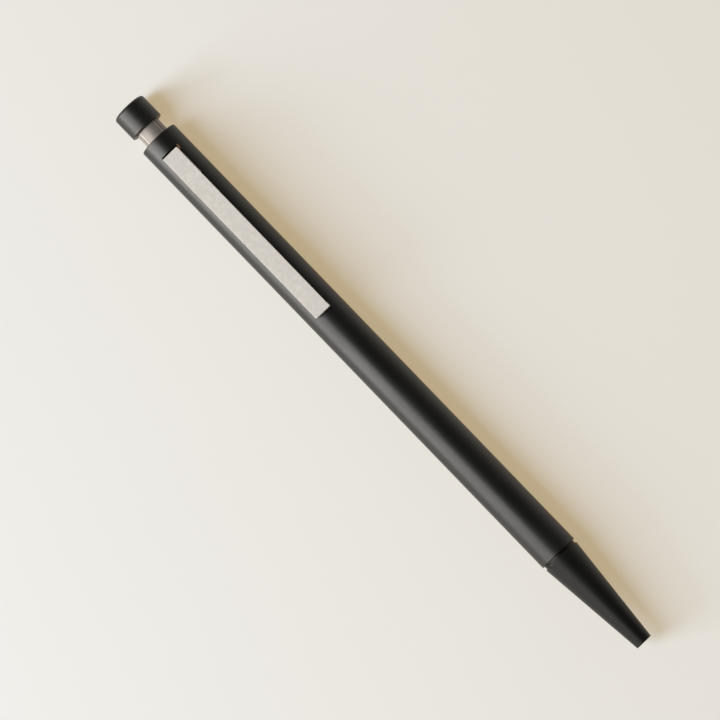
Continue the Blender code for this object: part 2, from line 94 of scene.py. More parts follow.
CLIP_THICKNESS = 0.6 * MM
CLIP_LIP = 0.65 * MM         # thickness of the lip at the clip's front end
LIP_GAP_HEIGHT = 4.12 * MM   # of the lip's lower side above the pen's axis
TUBE_WALL = 0.25 * MM        # of the refill's metal tube
TIP_SHANK_RADIUS = 0.8 * MM  # of the tip's end inside the refill's neck
LEAF_THICKNESS = 0.15 * MM   # of the bow spring
LEAF_RADIUS = 1.169 * MM     # of the bow spring's outer side

SPRING_STEEL = (0.45, 0.44, 0.43)
# Near-black colour of the push rod: painted shade, so that the gap seen behind the clip's rear end looks dark.
ROD_PAINTED_SHADE = (0.03, 0.03, 0.03)
DARK_SATIN = (0.03, 0.028, 0.026)
CARBIDE = (0.35, 0.35, 0.36)
WHITE_ACETAL = (0.72, 0.71, 0.67)
GREY_ACETAL = (0.20, 0.20, 0.21)
BLACK_ACETAL = (0.02, 0.02, 0.02)
DUST = (0.36, 0.33, 0.29)
CHIPPED_METAL = (0.90, 0.50, 0.26)
SPIGOT_METAL = (0.30, 0.29, 0.28)

LIGHT_BEARING = math.radians(-108)  # of both lights, from the direction of the tip
LIGHT_DISTANCE = 0.9
KEY_SIZE = (0.38, 0.78)
KEY_TINT = (1.0, 0.985, 0.97)
LOW_TILT = math.radians(74)         # of the low light, from straight up
LOW_SIZE = (0.4, 0.3)
LOW_TINT = (1.0, 0.955, 0.90)
HORIZON = (1.0, 0.95, 0.86, 1.0)
CEILING = (0.16, 0.16, 0.155, 1.0)
CEILING_STARTS = 0.8                # height on the room's globe where the ceiling starts
FLOOR_SIZE = 3.0


# ---------------------------------------------------------------- settings


class PenShape(PropertyGroup):
    """Sizes that the frame's boxes don't give."""

    sides: IntProperty(
        name="Sides", description="Facets round each turned piece", default=192, min=24
    )
    wall: FloatProperty(
        name="Barrel wall", description="Thickness of the barrel's tube",
        default=0.5 * MM, unit="LENGTH",
    )
    button_rim: FloatProperty(
        name="Button rim", description="Radius of the rounded rim round the button's end",
        default=0.55 * MM, unit="LENGTH",
    )
    barrel_rim: FloatProperty(
        name="Barrel rim", description="Radius of the rounded rim at the barrel's back end",
        default=0.18 * MM, unit="LENGTH",
    )
    clip_ease: FloatProperty(
        name="Clip edge", description="Width of the eased edges of the clip",
        default=0.04 * MM, unit="LENGTH",
    )
    land_half_angle: FloatProperty(
        name="Land half angle",
        description="Half of the angle that each raised land of the stem spans",
        default=math.radians(41.2), unit="ROTATION",
    )


class PenColours(PropertyGroup):
    """Base colours of the finishes."""

    lacquer: FloatVectorProperty(
        name="Lacquer", description="Matt black lacquer",
        default=(0.0026, 0.0027, 0.0024), subtype="COLOR", min=0.0, max=1.0,
    )
    clip: FloatVectorProperty(
        name="Clip", description="Satin steel of the clip",
        default=(0.80, 0.770, 0.725), subtype="COLOR", min=0.0, max=1.0,
    )
    steel: FloatVectorProperty(
        name="Steel", description="Bright turned steel",
        default=(0.62, 0.60, 0.58), subtype="COLOR", min=0.0, max=1.0,
    )
    stem: FloatVectorProperty(
        name="Stem", description="Steel of the button's stem, a little tarnished",
        default=(0.455, 0.418, 0.386), subtype="COLOR", min=0.0, max=1.0,
    )
    brass: FloatVectorProperty(
        name="Brass", description="Plain brass",
        default=(0.62, 0.42, 0.16), subtype="COLOR", min=0.0, max=1.0,
    )
    paper: FloatVectorProperty(
        name="Floor", description="Pale surface that the pen lies on",
        default=(0.415, 0.535, 0.685), subtype="COLOR", min=0.0, max=1.0,
    )
    paper_glow: FloatVectorProperty(
        name="Floor glow", description="Warm light that comes up through the translucent floor",
        default=(0.465, 0.352, 0.195), subtype="COLOR", min=0.0, max=1.0,
    )


class PenStage(PropertyGroup):
    """Camera and light."""

    distance: FloatProperty(
        name="Distance", description="Camera's distance from the pen",
        default=0.996, unit="LENGTH",
    )
    lens: FloatProperty(
        name="Lens", description="Focal length in millimetres", default=266.99, min=1.0
    )
    lean_to_tip: FloatProperty(
        name="Lean to the tip", description="Angle by which the camera leans towards the tip",
        default=math.radians(4.965), unit="ROTATION",
    )
    lean_across: FloatProperty(
        name="Lean across", description="Angle by which the camera leans across the pen",
        default=math.radians(4.094), unit="ROTATION",
    )
    roll: FloatProperty(
        name="Roll", description="Turn of the camera about its line of sight",
        default=math.radians(45.877), unit="ROTATION",
    )
    aim: FloatVectorProperty(
        name="Aim", description="Point that the camera looks at",
        default=(-5.012 * MM, -1.6 * MM, 4.0 * MM), subtype="TRANSLATION", unit="LENGTH",
    )
    key_power: FloatProperty(
        name="Key light", description="Power of the large soft light in watts", default=7.2
    )
    low_power: FloatProperty(
        name="Low light", description="Power of the soft light near the horizon in watts",
        default=4.2,
    )
    key_tilt: FloatProperty(
        name="Key tilt", description="Angle of the key light from straight up",
        default=math.radians(46.0), unit="ROTATION",
    )
    fill: FloatProperty(
        name="Fill", description="Brightness of the room near the horizon", default=0.4
    )


# ---------------------------------------------------------------- modelling helpers


def clear_selection():
    """Leave edit mode with nothing selected."""
    if bpy.context.object and bpy.context.object.mode != "OBJECT":
        bpy.ops.object.mode_set(mode="OBJECT")
    bpy.ops.object.select_all(action="DESELECT")


def take(piece):
    """Make a piece the only one selected, and the one that operators act on."""
    clear_selection()
    bpy.context.view_layer.objects.active = piece
    piece.select_set(True)


def finish_editing(name):
    """Close edit mode on the piece in hand and give it its name."""
    bpy.ops.object.mode_set(mode="OBJECT")
    piece = bpy.context.object
    piece.name = piece.data.name = name
    return piece


def eased(corners):
    """The outline through (x, radius, fillet) corners, with each fillet drawn as an arc."""
    points = []
    for index, corner in enumerate(corners):
        here = Vector(corner[:2])
        fillet = corner[2] if len(corner) == 3 else 0.0
        if not fillet:
            points.append(here)
            continue
        before = (Vector(corners[index - 1][:2]) - here).normalized()
        after = (Vector(corners[(index + 1) % len(corners)][:2]) - here).normalized()
        half_angle = before.angle(after) / 2
        centre = here + (before + after).normalized() * fillet / math.sin(half_angle)
        start = (here + before * fillet / math.tan(half_angle) - centre).normalized()
        end = (here + after * fillet / math.tan(half_angle) - centre).normalized()
        for step in range(ARC_STEPS + 1):
            points.append(centre + start.slerp(end, step / ARC_STEPS) * fillet)
    return points


def draw_line(points):
    """Draw a chain of edges in edit mode, from a plane merged to one vertex and extruded."""
    clear_selection()
    bpy.ops.mesh.primitive_plane_add(size=MM)
    bpy.ops.object.mode_set(mode="EDIT")
    bpy.ops.mesh.select_mode(type="VERT")
    bpy.ops.mesh.merge(type="CENTER")
    bpy.ops.transform.translate(value=points[0])
    for here, there in zip(points, points[1:]):
        bpy.ops.mesh.extrude_vertices_move(TRANSFORM_OT_translate={"value": there - here})


def turn(name, corners, sides=0):
    """Turn a section about the pen's axis. One that starts on the axis ends on it too."""
    sides = sides or bpy.context.scene.pen_shape.sides
    outline = [Vector((p.x, 0.0, p.y)) for p in eased(corners)]
    if corners[0][1] > 0:
        outline.append(outline[0])
    draw_line(outline)
    bpy.ops.mesh.select_all(action="SELECT")
    bpy.ops.mesh.spin(
        steps=sides, angle=math.tau, center=(0, 0, 0), axis=(1, 0, 0), use_auto_merge=True
    )
    bpy.ops.mesh.select_all(action="SELECT")
    bpy.ops.mesh.remove_doubles(threshold=HAIR)
    bpy.ops.transform.rotate(
        value=math.pi / sides, orient_axis="X", center_override=(0, 0, 0)
    )
    bpy.ops.transform.translate(value=(0, 0, AXIS_HEIGHT))
    bpy.ops.mesh.normals_make_consistent(inside=False)
    return finish_editing(name)


def thicken(name, outline, width):
    """Fill an outline drawn in the pen's upright plane and extrude it along Y."""
    draw_line(outline + outline[:1])
    bpy.ops.mesh.select_all(action="SELECT")
    bpy.ops.mesh.remove_doubles(threshold=HAIR)
    bpy.ops.mesh.edge_face_add()
    bpy.ops.mesh.extrude_region_move(TRANSFORM_OT_translate={"value": (0, width, 0)})
    bpy.ops.mesh.select_all(action="SELECT")
    bpy.ops.mesh.normals_make_consistent(inside=False)
    return finish_editing(name)


def edit_faces(piece, test):
    """Open the piece in edit mode with just the faces selected that pass a test."""
    take(piece)
    bpy.ops.object.mode_set(mode="EDIT")
    bpy.ops.mesh.select_mode(type="FACE")
    bpy.ops.mesh.select_all(action="DESELECT")
    bpy.ops.object.mode_set(mode="OBJECT")
    for face in piece.data.polygons:
        face.select = test(face.center, face.normal)
    bpy.ops.object.mode_set(mode="EDIT")


def cut(piece, tool):
    """Cut a tool out of a piece and throw the tool away."""
    take(piece)
    boolean = piece.modifiers.new("cut", "BOOLEAN")
    boolean.object = tool
    bpy.ops.object.modifier_apply(modifier=boolean.name)
    bpy.data.objects.remove(tool)


def block(low, high):
    """A box between two corners, to cut with."""
    clear_selection()
    bpy.ops.mesh.primitive_cube_add(size=1.0, location=(low + high) / 2, scale=high - low)
    bpy.ops.object.transform_apply(location=True, rotation=True, scale=True)
    return bpy.context.object


def cross_bar(radius, length, centre):
    """A round bar across the pen, along Y."""
    clear_selection()
    bpy.ops.mesh.primitive_cylinder_add(
        vertices=48, radius=radius, depth=length, location=centre, rotation=(math.pi / 2, 0, 0)
    )
    bpy.ops.object.transform_apply(location=True, rotation=True, scale=True)
    return bpy.context.object


def smooth(piece, angle=32):
    """Shade a piece smooth but for its sharp edges, with its broad faces kept flat."""
    take(piece)
    bpy.ops.object.shade_smooth_by_angle(angle=math.radians(angle))
    weighted = piece.modifiers.new("broad faces flat", "WEIGHTED_NORMAL")
    weighted.keep_sharp = True
    bpy.ops.object.modifier_apply(modifier=weighted.name)


def hand_over(piece, node, finish):
    """Put a finished piece in its node's place, on the node's body."""
    smooth(piece)
    piece.data.materials.clear()
    piece.data.materials.append(finish)
    body = next(b for b, nodes in frame["record"]["behaviour"]["bodies"].items() if node in nodes)
    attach(piece, body)
    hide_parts(node)


def dress(node, finish):
    """Give a node of the frame that stays in view its finish."""
    mesh = frame["nodes"][node].data
    mesh.materials.clear()
    mesh.materials.append(finish)


def bearing(point):
    """Angle of a point about the pen's axis, from straight up."""
    return math.atan2(point.y, point.z - AXIS_HEIGHT)


def radius_at(point):
    """Distance of a point from the pen's axis."""
    return math.hypot(point.y, point.z - AXIS_HEIGHT)


def outer_radius(node):
    """Half the width of a turned node of the frame."""
    low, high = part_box(node)
    return (high.y - low.y) / 2


# ---------------------------------------------------------------- shader helpers


class Value:
    """A socket in a material. Sums on it are plain Python and become Math nodes."""

    def __init__(self, finish, socket):
        self.finish = finish
        self.socket = socket

    def maths(self, operation, first, second):
        return self.finish.node(
            "ShaderNodeMath", {"operation": operation}, {0: first, 1: second}
        )

    def __add__(self, other):
        return self.maths("ADD", self, other)

    __radd__ = __add__

    def __sub__(self, other):
        return self.maths("SUBTRACT", self, other)

    def __rsub__(self, other):
        return self.maths("SUBTRACT", other, self)

    def __mul__(self, other):
        return self.maths("MULTIPLY", self, other)

    __rmul__ = __mul__

    def __abs__(self):
        return self.maths("ABSOLUTE", self, 0.0)


class Finish:
    """A material under construction, with helpers for its nodes."""

    def __init__(self, name):
        self.material = bpy.data.materials.new(name)
        self.material.use_nodes = True
        self.tree = self.material.node_tree
        self.shader = self.tree.nodes["Principled BSDF"]
        place = self.node("ShaderNodeTexCoord", output="Object")
        self.mm = self.node("ShaderNodeMapping", {}, {"Vector": place, "Scale": (1000.0,) * 3})

    def node(self, kind, settings=None, sockets=None, output=0):
        """Add a node: its settings first, then the values or links of its sockets."""
        made = self.tree.nodes.new(kind)
        for name, setting in (settings or {}).items():
            if name == "stops":
                self.fill_ramp(made.color_ramp, setting)
            else:
                setattr(made, name, setting)
        for name, value in (sockets or {}).items():
            self.feed(made.inputs[name], value)
        return Value(self, made.outputs[output])

    def feed(self, socket, value):
        """Link a socket, or set it."""
        if isinstance(value, Value):
            self.tree.links.new(value.socket, socket)
        elif socket.type == "RGBA":
            socket.default_value = (*value[:3], 1.0)
        else:
            socket.default_value = value

    def fill_ramp(self, ramp, stops):
        """Set a colour ramp's stops to grey levels at places."""
        while len(ramp.elements) > 1:
            ramp.elements.remove(ramp.elements[0])
        for index, (position, level) in enumerate(stops):
            stop = ramp.elements[0] if index == 0 else ramp.elements.new(position)
            stop.position = position
            stop.color = (level, level, level, 1.0)

    def set(self, **sockets):
        """Set the shader's sockets, named with underscores for spaces."""
        for name, value in sockets.items():
            self.feed(self.shader.inputs[name.replace("_", " ")], value)

    def noise(self, per_mm, detail=2.0, stretch=(1.0, 1.0, 1.0), shift=(0.0, 0.0, 0.0)):
        """Noise with so many blobs to a millimetre, averaging about a half."""
        place = self.node(
            "ShaderNodeMapping", {}, {"Vector": self.mm, "Scale": stretch, "Location": shift}
        )
        sockets = {"Vector": place, "Scale": per_mm, "Detail": detail, "Roughness": 0.55}
        return self.node("ShaderNodeTexNoise", {}, sockets, "Fac")

    def ramp(self, value, low, high):
        """0 below one level, 1 above another, smooth between."""
        sockets = {"Value": value, "From Min": low, "From Max": high}
        return self.node("ShaderNodeMapRange", {"interpolation_type": "SMOOTHSTEP"}, sockets)

    def mix(self, amount, dark, light):
        """Blend two colours."""
        settings = {"data_type": "RGBA"}
        return self.node("ShaderNodeMix", settings, {0: amount, 6: dark, 7: light}, 2)

    def along(self):
        """Distance along the pen, in millimetres from its middle."""
        return self.node("ShaderNodeSeparateXYZ", {}, {0: self.mm}, "X")

    def across(self):
        """Distance across the pen, in millimetres from its upright middle plane."""
        return self.node("ShaderNodeSeparateXYZ", {}, {0: self.mm}, "Y")

    def rough_up(self, height, microns):
        """Let a height pattern of some microns bump the surface."""
        sockets = {"Strength": 1.0, "Distance": microns * 1e-6, "Height": height}
        bump = self.node("ShaderNodeBump", {}, sockets, "Normal")
        self.set(Normal=bump)


def scaled(colour, factor):
    """A colour made darker or lighter."""
    return tuple(channel * factor for channel in colour)


# ---------------------------------------------------------------- finishes


def lacquer(name, worn_stations, chip=None, gloss=0.6, bare_behind=None):
    """Matt black lacquer: fine grain, clouds of handling, dust, rubbed rims and bare metal."""
    finish = Finish(name)
    colour = bpy.context.scene.pen_colours.lacquer
    grain = finish.noise(10.0, 3.0)
    pores = finish.noise(18.0, 1.0, shift=(5.0, 3.0, 1.0))
    clouds = finish.noise(0.16, 3.0, stretch=(0.5, 1.0, 1.0))
    handling = finish.ramp(clouds, 0.4, 0.68)
    cells, lot = (
        finish.node(
            "ShaderNodeTexVoronoi", {"feature": "F1"}, {"Vector": finish.mm, "Scale": 0.42}, part
        )
        for part in ("Distance", "Color")
    )
    chosen = finish.ramp(finish.node("ShaderNodeSeparateColor", {}, {0: lot}, 0), 0.86, 0.88)
    dust = (1.0 - finish.ramp(cells, 0.022, 0.034)) * chosen
    along = finish.along()
    rub = 0.0
    for station in worn_stations:
        near = 1.0 - finish.ramp(abs(along - station / MM), 0.05, 0.42)
        rub = near + rub
    rub = rub * finish.ramp(finish.noise(1.7, 4.0, shift=(2.0, 7.0, 4.0)), 0.38, 0.66)
    shade = finish.mix(grain, scaled(colour, 0.75), scaled(colour, 1.3))
    shade = finish.mix(handling * 0.5, shade, scaled(colour, 1.9))
    shade = finish.mix(rub * 0.7, shade, scaled(colour, 3.6))
    shade = finish.mix(dust * 0.8, shade, DUST)
    bare = 0.0
    if chip:
        long_way = [0.5, 1.0, 1.0]
        squeezed = finish.node(
            "ShaderNodeVectorMath", {"operation": "MULTIPLY"}, {0: finish.mm, 1: long_way},
            "Vector",
        )
        centre = [place / MM * share for place, share in zip(chip, long_way)]
        offset = finish.node(
            "ShaderNodeVectorMath", {"operation": "DISTANCE"}, {0: squeezed, 1: centre}, "Value"
        )
        ragged = offset + (finish.noise(5.0, 3.0) - 0.5) * 0.4
        bare = 1.0 - finish.ramp(ragged, 0.22, 0.32)
        shade = finish.mix(bare, shade, CHIPPED_METAL)
    height = grain * 0.6 + pores * 0.4 + dust * 0.6
    if bare_behind:
        bare = 1.0 - finish.ramp(along - bare_behind / MM, -0.02, 0.02)
        thread = finish.node(
            "ShaderNodeTexWave", {"wave_type": "BANDS", "bands_direction": "X"},
            {"Vector": finish.mm, "Scale": WAVE_SCALE / THREAD_PITCH}, "Fac",
        )
        shade = finish.mix(bare, shade, SPIGOT_METAL)
        height = height * (1.0 - bare) + thread * bare * 12.0
    finish.set(
        Base_Color=shade,
        Metallic=bare,
        Roughness=0.42 + (grain - 0.5) * 0.16 + handling * 0.04 - rub * 0.09 + dust * 0.3,
        Specular_IOR_Level=gloss,
    )
    finish.rough_up(height, 10.0)
    return finish.material


def tumbled_steel(name):
    """The clip's satin steel: a mottle from tumbling, faint curved scratches, brighter edges."""
    finish = Finish(name)
    colour = bpy.context.scene.pen_colours.clip
    mottle = finish.noise(1.3, 4.0)
    fine = finish.noise(9.0, 3.0, shift=(1.0, 2.0, 3.0))
    clouds = finish.noise(0.25, 2.0, shift=(4.0, 0.0, 2.0))
    scratches = 0.0
    arcs = (((9.0, 14.0, 0.0), 0.9), ((46.0, -9.0, 2.0), 1.3), ((31.0, 7.0, 0.0), 1.1))
    for centre, pitch in arcs:
        place = finish.node("ShaderNodeMapping", {}, {"Vector": finish.mm, "Location": centre})
        rings = finish.node(
            "ShaderNodeTexWave",
            {"wave_type": "RINGS", "rings_direction": "Z"},
            {"Vector": place, "Scale": pitch, "Distortion": 1.1, "Detail": 1.0},
            "Fac",
        )
        patch = finish.ramp(finish.noise(0.5, 3.0, shift=centre), 0.52, 0.62)
        scratches = finish.ramp(rings, 0.97, 1.0) * patch + scratches
    half_width = outer_radius("clip") / MM
    edge = finish.ramp(abs(finish.across()), half_width - 0.14, half_width - 0.02)
    blotches = finish.ramp(mottle, 0.36, 0.64)
    shade = finish.mix(blotches, scaled(colour, 0.93), scaled(colour, 1.05))
    shade = finish.mix(finish.ramp(clouds, 0.35, 0.65) * 0.5, shade, scaled(colour, 0.95))
    shade = finish.mix(scratches * 0.4, shade, scaled(colour, 0.78))
    shade = finish.mix(edge * 0.6, shade, scaled(colour, 1.04))
    finish.set(
        Base_Color=shade,
        Metallic=0.45,
        Roughness=0.6 + (mottle - 0.5) * 0.16 + (fine - 0.5) * 0.1 - edge * 0.04,
    )
    finish.rough_up(mottle * 0.5 + fine * 0.35 - scratches * 0.12, 5.0)
    return finish.material


def turned_metal(name, colour, roughness, lines_per_mm=11.0, land_edge=0.0):
    """Metal straight from the lathe: fine rings, a little staining, and, where a land edge is given, brighter land
    edges (partly polish from use, partly painted highlight) with a painted shade line in the recess beside them.
    """
    finish = Finish(name)
    lines = finish.noise(lines_per_mm, 3.0, stretch=(1.0, 0.03, 0.03))
    stain = finish.noise(0.7, 4.0, shift=(3.0, 1.0, 8.0))
    fine = finish.noise(14.0, 2.0)
    shade = finish.mix(lines, scaled(colour, 0.9), scaled(colour, 1.08))
    shade = finish.mix(finish.ramp(stain, 0.45, 0.75) * 0.35, shade, scaled(colour, 0.7))
    polish_and_highlight = 0.0
    if land_edge:
        beyond = abs(finish.across()) - land_edge / MM
        # Painted highlight: each land edge is lightened, partly as polish from use and partly for the light that
        # the edge catches.
        polish_and_highlight = 1.0 - finish.ramp(abs(beyond), 0.05, 0.13)
        # Painted shade: a dark line just beyond each land edge, where the recess lies in shade.
        painted_recess_shade = 1.0 - finish.ramp(abs(beyond - 0.2), 0.04, 0.14)
        shade = finish.mix(polish_and_highlight, shade, scaled(colour, 1.4))
        shade = finish.mix(painted_recess_shade * 0.6, shade, scaled(colour, 0.45))
    finish.set(
        Base_Color=shade,
        Metallic=1.0,
        Roughness=roughness + (lines - 0.5) * 0.12 + (stain - 0.5) * 0.12 - polish_and_highlight * 0.05,
    )
    finish.rough_up(lines * 0.8 + fine * 0.2, 2.5)
    return finish.material


def drawn_wire(name, colour):
    """Spring wire, with the long faint lines of the drawing die."""
    finish = Finish(name)
    lines = finish.noise(12.0, 3.0, stretch=(1.0, 0.1, 0.1))
    oil = finish.noise(0.8, 3.0)
    finish.set(
        Base_Color=finish.mix(oil, scaled(colour, 0.75), scaled(colour, 1.15)),
        Metallic=1.0,
        Roughness=0.3 + (lines - 0.5) * 0.14 + (oil - 0.5) * 0.12,
    )
    finish.rough_up(lines, 1.5)
    return finish.material


def moulded(name, colour):
    """Moulded acetal: a faint spark-eroded texture and slight flow marks."""
    finish = Finish(name)
    spark = finish.noise(10.0, 3.0)
    flow = finish.noise(0.5, 3.0, stretch=(0.4, 1.0, 1.0))
    finish.set(
        Base_Color=finish.mix(flow, scaled(colour, 0.88), scaled(colour, 1.08)),
        Roughness=0.45 + (spark - 0.5) * 0.12 + (flow - 0.5) * 0.1,
    )
    finish.rough_up(spark, 3.0)
    return finish.material


def pale_floor(name):
    """A pale translucent sheet, lit a little from below, with the faintest tooth."""
    finish = Finish(name)
    colour = bpy.context.scene.pen_colours.paper
    tooth = finish.noise(3.0, 4.0)
    clouds = finish.noise(0.03, 3.0)
    shade = finish.mix(clouds, scaled(colour, 0.985), scaled(colour, 1.01))
    shade = finish.mix(tooth * 0.5, shade, scaled(colour, 0.985))
    finish.set(
        Base_Color=shade,
        Roughness=0.75 + (tooth - 0.5) * 0.1,
        Specular_IOR_Level=0.25,
        Emission_Color=bpy.context.scene.pen_colours.paper_glow,
        Emission_Strength=1.0,
    )
    finish.rough_up(tooth, 8.0)
    return finish.material


# ---------------------------------------------------------------- pieces


class PEN_OT_barrel(Operator):
    """Turn the barrel's tube and cut the slot that the clip's root goes down"""

    bl_idname = "pen.barrel"
    bl_label = "Barrel"

    def execute(self, context):
        shape = context.scene.pen_shape
        low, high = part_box("barrel_tube")
        outer = outer_radius("barrel_tube")
        bore = outer - shape.wall
        barrel = turn(
            "barrel",
            [
                (low.x, bore, 0.06 * MM),
                (low.x, outer, shape.barrel_rim),
                (high.x, outer, 0.06 * MM),
                (high.x, bore, 0.04 * MM),
            ],
        )
        clip_low, clip_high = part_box("clip")
        behind_clip, before_carrier, beside_clip = 0.56 * MM, 2.2 * MM, 0.15 * MM
        back = clip_low.x - behind_clip
        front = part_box("clip_carrier")[1].x - before_carrier
        half = (clip_high.y - clip_low.y) / 2 + beside_clip
        for station in (back - MM, front + MM):
            self.add_ring(barrel, station)
        slot_low = Vector((back, -half, AXIS_HEIGHT + MM))
        cut(barrel, block(slot_low, Vector((front, half, high.z + MM))))
        chip = (clip_low.x - 0.05 * MM, half, AXIS_HEIGHT + math.sqrt(outer**2 - half**2))
        finish = lacquer("barrel_lacquer", (low.x, high.x), chip)
        hand_over(barrel, "barrel_tube", finish)
        return {"FINISHED"}

    def add_ring(self, barrel, station):
        """A ring of edges round the tube, so that the slot's faces end near it."""
        edit_faces(barrel, lambda centre, normal: True)
        bpy.ops.mesh.bisect(plane_co=(station, 0, 0), plane_no=(1, 0, 0))
        bpy.ops.object.mode_set(mode="OBJECT")


class PEN_OT_button(Operator):
    """Turn the push button's cap and its steel stem with two raised lands"""

    bl_idname = "pen.button"
    bl_label = "Push button"

    def execute(self, context):
        self.make_cap(context.scene.pen_shape)
        self.make_stem(context.scene.pen_shape)
        return {"FINISHED"}

    def make_cap(self, shape):
        low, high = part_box("button_cap")
        outer = outer_radius("button_cap")
        bore = TENON_RADIUS + FIT
        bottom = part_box("button_stem")[0].x - FIT
        cap = turn(
            "push_button",
            [
                (low.x, 0.0),
                (low.x, outer, shape.button_rim),
                (high.x, outer, 0.2 * MM),
                (high.x, bore, 0.08 * MM),
                (bottom, bore),
                (bottom, 0.0),
            ],
        )
        hand_over(cap, "button_cap", lacquer("button_lacquer", (low.x + 0.15 * MM, high.x)))

    def make_stem(self, shape):
        low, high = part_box("button_stem")
        land = (high.z - low.z) / 2
        wall = land - LAND_HEIGHT
        back_fillet, front_fillet = 0.04 * MM, 0.08 * MM
        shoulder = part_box("button_cap")[1].x + FIT
        bore = outer_radius("push_rod") + FIT
        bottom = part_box("push_rod")[0].x - FIT
        stem = turn(
            "button_stem_turned",
            [
                (low.x, 0.0),
                (low.x, TENON_RADIUS, 0.1 * MM),
                (shoulder, TENON_RADIUS),
                (shoulder, wall, back_fillet),
                (high.x, wall, front_fillet),
                (high.x, bore, 0.05 * MM),
                (bottom, bore),
                (bottom, 0.0),
            ],
        )

        def on_land(centre, normal):
            off = min(abs(bearing(centre)), math.pi - abs(bearing(centre)))
            along = shoulder + back_fillet < centre.x < high.x - front_fillet
            outside = radius_at(centre) > wall - 0.01 * MM
            return off < shape.land_half_angle and along and outside

        edit_faces(stem, on_land)
        bpy.ops.mesh.extrude_region_shrink_fatten(
            TRANSFORM_OT_shrink_fatten={"value": land - wall}
        )
        bpy.ops.mesh.region_to_loop()
        bpy.ops.mesh.bevel(offset=0.07 * MM, segments=2, profile=0.5, affect="EDGES")
        bpy.ops.object.mode_set(mode="OBJECT")
        colour = bpy.context.scene.pen_colours.stem
        edge = land * math.sin(shape.land_half_angle)
        # The stem's land edges carry a painted highlight, with a painted shade line beside them.
        steel = turned_metal("stem_steel", colour, 0.76, land_edge=edge)
        hand_over(stem, "button_stem", steel)


class PEN_OT_clip(Operator):
    """Draw the clip's side, extrude it to the clip's width, ease its edges and drill it"""

    bl_idname = "pen.clip"
    bl_label = "Clip"

    def execute(self, context):
        shape = context.scene.pen_shape
        low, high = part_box("clip")
        pin_low, pin_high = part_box("clip_pin")
        pin = (pin_low + pin_high) / 2
        over_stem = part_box("button_stem")[1].z + 0.42 * MM
        underside = high.z - CLIP_THICKNESS
        lip_bottom = AXIS_HEIGHT + LIP_GAP_HEIGHT
        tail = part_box("clip_carrier")[0].x - 0.1 * MM
        side = [
            (low.x, high.z),
            (high.x, high.z),
            (high.x, lip_bottom),
            (high.x - CLIP_LIP, lip_bottom),
            (high.x - 1.5 * CLIP_LIP, underside),
            (pin.x + 1.8 * MM, underside),
            (pin.x + 1.4 * MM, underside - 0.5 * MM),
            (pin.x + 1.4 * MM, pin.z - 0.3 * MM),
            (pin.x + 1.1 * MM, low.z),
            (pin.x - 1.3 * MM, low.z),
            (pin.x - 1.3 * MM, pin.z + 0.15 * MM),
            (tail, pin.z + 0.15 * MM),
            (tail, over_stem),
            (low.x, over_stem),
        ]
        points = [Vector((x, low.y, z)) for x, z in side]
        clip = thicken("clip_strip", points, high.y - low.y)
        ease = clip.modifiers.new("eased edges", "BEVEL")
        ease.width = shape.clip_ease
        ease.segments = 4
        ease.limit_method = "ANGLE"
        ease.angle_limit = math.radians(40)
        bpy.ops.object.modifier_apply(modifier=ease.name)
        radius = (pin_high.z - pin_low.z) / 2 + 0.04 * MM
        cut(clip, cross_bar(radius, 8 * MM, pin))
        hand_over(clip, "clip", tumbled_steel("clip_steel"))
        return {"FINISHED"}


class PEN_OT_nose(Operator):
    """Turn the nose cone with its spigot, and the threaded insert that it screws into"""

    bl_idname = "pen.nose"
    bl_label = "Nose"

    def execute(self, context):
        self.make_cone()
        self.make_insert()
        return {"FINISHED"}

    def make_cone(self):
        low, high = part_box("nose_cone")
        rim = outer_radius("nose_cone")
        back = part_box("front_insert")[1].x + FIT
        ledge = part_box("spring_washer")[1].x + 0.1 * MM
        spigot, bore, mouth = 3.0 * MM, 2.6 * MM, 1.725 * MM
        neck_clear, tip_clear = 2.0 * MM, 1.25 * MM
        cone = turn(
            "nose",
            [
                (low.x, bore, 0.05 * MM),
                (low.x, spigot, 0.1 * MM),
                (back, spigot),
                (back, rim, 0.08 * MM),
                (high.x, mouth, 0.15 * MM),
                (high.x, tip_clear, 0.08 * MM),
                (high.x - 9.74 * MM, tip_clear),
                (high.x - 12.34 * MM, neck_clear),
                (ledge, neck_clear),
                (ledge, bore),
            ],
        )
        finish = lacquer("nose_lacquer", (back, high.x), gloss=0.42, bare_behind=back + 0.01 * MM)
        hand_over(cone, "nose_cone", finish)

    def make_insert(self):
        low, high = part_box("front_insert")
        flange = outer_radius("front_insert")
        body = outer_radius("clip_carrier")
        bore = 3.05 * MM
        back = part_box("barrel_tube")[1].x + FIT
        insert = turn(
            "threaded_insert",
            [
                (low.x, bore, 0.05 * MM),
                (low.x, body, 0.1 * MM),
                (back, body),
                (back, flange, 0.04 * MM),
                (high.x, flange, 0.04 * MM),
                (high.x, bore, 0.04 * MM),
            ],
        )
        hand_over(insert, "front_insert", turned_metal("insert_metal", DARK_SATIN, 0.4))


